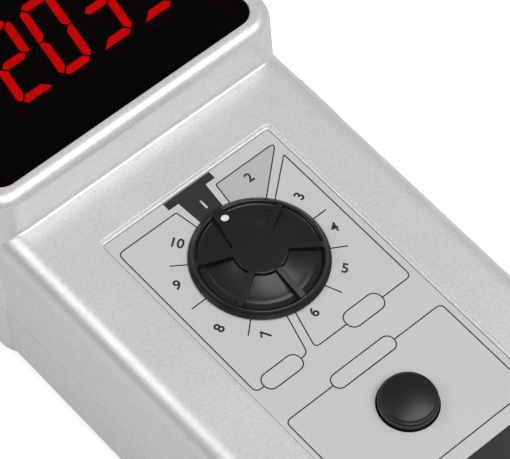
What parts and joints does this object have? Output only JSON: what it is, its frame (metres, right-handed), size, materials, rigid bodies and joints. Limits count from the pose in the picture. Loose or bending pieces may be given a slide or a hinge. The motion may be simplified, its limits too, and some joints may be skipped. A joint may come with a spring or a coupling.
{
  "type": "contact tachometer",
  "caption": "Handheld tachometer with a stepped display head, selector knob, sprung buttons and a spinning contact tip with an optical window.",
  "frame": {"origin": "middle of the bounding box on the plane of the flat back", "axes": "+Y from the tail to the contact tip, +Z out of the face, +X to the right seen from the front"},
  "size_m": [0.0634, 0.184, 0.0444],
  "materials": {
    "case_paint": "silver metallic lacquer on moulded plastic, fine grain",
    "window": "dark red see-through filter, polished",
    "label": "printed film, satin",
    "black_plastic": "satin moulded",
    "white_fill": "painted fill",
    "steel": "turned",
    "spring_steel": "nickel plated",
    "switch_body": "moulded",
    "brass": "plated pins",
    "bronze": "sintered bearing",
    "plunger": "moulded",
    "dark_plastic": "moulded",
    "board": "solder mask",
    "disc": "black anodised",
    "rubber": "soft moulded",
    "aluminium": "turned",
    "lens_glass": "clear moulded",
    "lamp_red": "clear tinted",
    "lamp_dark": "dark filter",
    "digit": "dark face with lit segments",
    "cell": "metal can in a plain sleeve, no words"
  },
  "bodies": {
    "case": {"front_case": "case_paint", "rear_case": "case_paint", "display_window": "window", "label_panel": "label", "rotary_switch": "switch_body", "switch_terminals": "brass", "memory_switch": "dark_plastic", "measure_switch": "dark_plastic", "main_board": "board", "display_board": "board", "digit_1": "digit", "digit_2": "digit", "digit_3": "digit", "digit_4": "digit", "digit_5": "digit", "board_header": "dark_plastic", "board_screws": "steel", "controller_chip": "dark_plastic", "crystal": "steel", "nose_housing": "dark_plastic", "front_bush": "bronze", "rear_bush": "bronze", "slot_sensor": "dark_plastic", "optics_tube": "dark_plastic", "lens": "lens_glass", "light_source": "lamp_red", "light_detector": "lamp_dark", "optics_board": "board", "battery_1": "cell", "battery_2": "cell", "battery_3": "cell", "battery_4": "cell", "contact_plates": "spring_steel", "contact_springs": "spring_steel", "case_screws": "steel"},
    "knob": {"selector_knob": "black_plastic", "knob_dot": "white_fill", "switch_shaft": "steel"},
    "memory": {"memory_button": "black_plastic", "memory_plunger": "plunger"},
    "measure": {"measure_button": "black_plastic", "measure_plunger": "plunger"},
    "spindle": {"contact_shaft": "steel", "retaining_clip": "steel", "encoder_disc": "disc", "tip_ring": "rubber"},
    "tip": {"tip_hub": "aluminium", "contact_tip": "rubber"},
    "door": {"battery_door": "case_paint"}
  },
  "joints": [
    {"name": "knob_turn", "type": "hinge", "parent": "case", "child": "knob", "pos_m": [0, -0.018, 0.0354], "axis": [0, 0, 1], "range_deg": [-324, 0]},
    {"name": "memory_press", "type": "slide", "parent": "case", "child": "memory", "axis": [0, 0, -1], "range_m": [0, 0.0008], "stiffness_N_per_m": 1500, "springref_m": -0.0008},
    {"name": "measure_press", "type": "slide", "parent": "case", "child": "measure", "axis": [-1, 0, 0], "range_m": [0, 0.0008], "stiffness_N_per_m": 1500, "springref_m": -0.0008},
    {"name": "spindle_spin", "type": "hinge", "parent": "case", "child": "spindle", "pos_m": [-0.012, 0.05, 0.0155], "axis": [0, 1, 0], "continuous": true},
    {"name": "tip_pull", "type": "slide", "parent": "spindle", "child": "tip", "axis": [0, 1, 0], "range_m": [0, 0.012]},
    {"name": "door_slide", "type": "slide", "parent": "case", "child": "door", "axis": [0, -1, 0], "range_m": [0, 0.076]}
  ]
}
